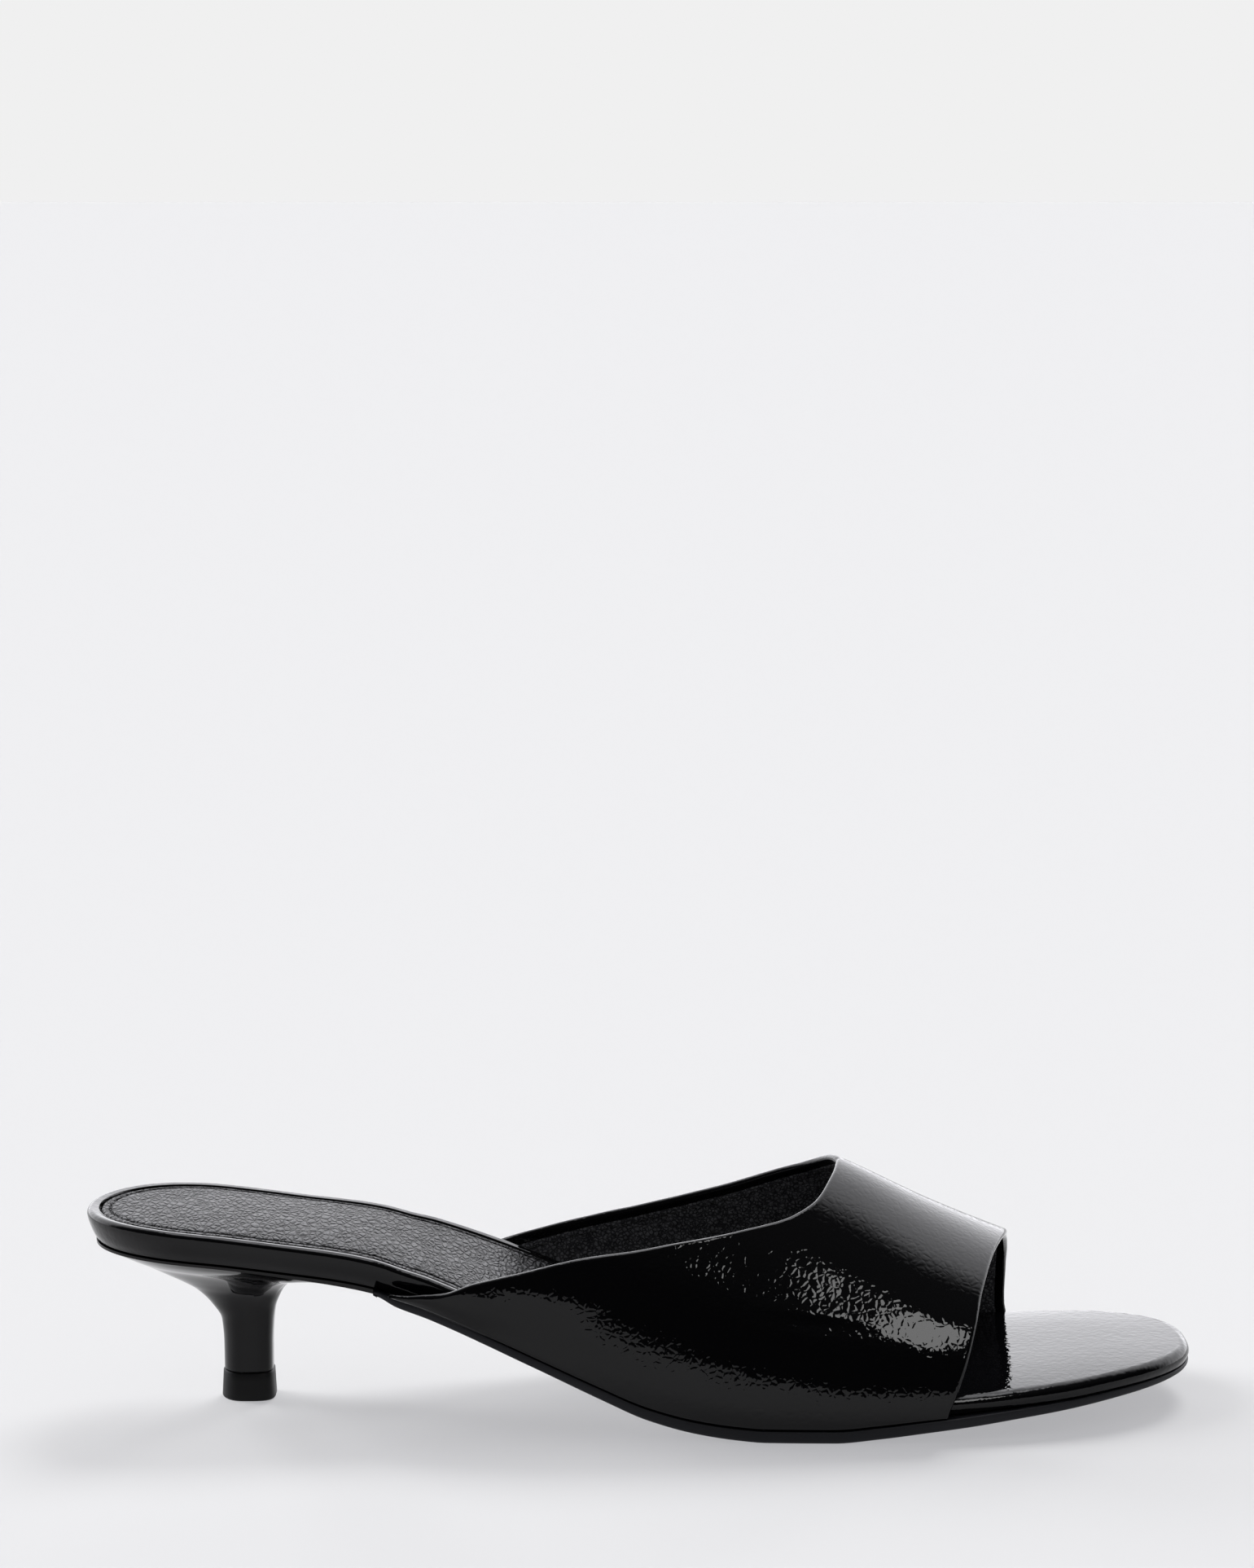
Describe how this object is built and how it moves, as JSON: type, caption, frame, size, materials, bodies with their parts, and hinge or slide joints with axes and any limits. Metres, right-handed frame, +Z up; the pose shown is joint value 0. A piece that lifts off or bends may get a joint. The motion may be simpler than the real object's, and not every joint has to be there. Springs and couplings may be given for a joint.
{
  "type": "kitten-heel mule",
  "caption": "Backless open-toe mule with a wide black patent vamp, a covered footbed with a pebbled sock lining, a thin outsole and a low curved heel with a rubber tip.",
  "frame": {"origin": "middle of the shoe's bounding box in plan, on the floor it stands on", "axes": "+X from the heel to the toe, +Y to the shoe's inner (medial) side, +Z up"},
  "size_m": [0.249, 0.0774, 0.0547],
  "materials": {
    "sole_rubber": "satin black sole sheet",
    "footbed_patent": "crinkled patent wrapped over a padded board",
    "sock_lining": "pebbled matte lining with a line run round its edge",
    "upper_patent": "crinkled patent outside, matte lining inside",
    "heel_plastic": "high-gloss black",
    "tip_rubber": "matte black"
  },
  "bodies": {
    "root": {"outsole": "sole_rubber", "footbed": "footbed_patent", "sock": "sock_lining", "upper": "upper_patent", "heel": "heel_plastic", "top_piece": "tip_rubber"}
  },
  "joints": []
}
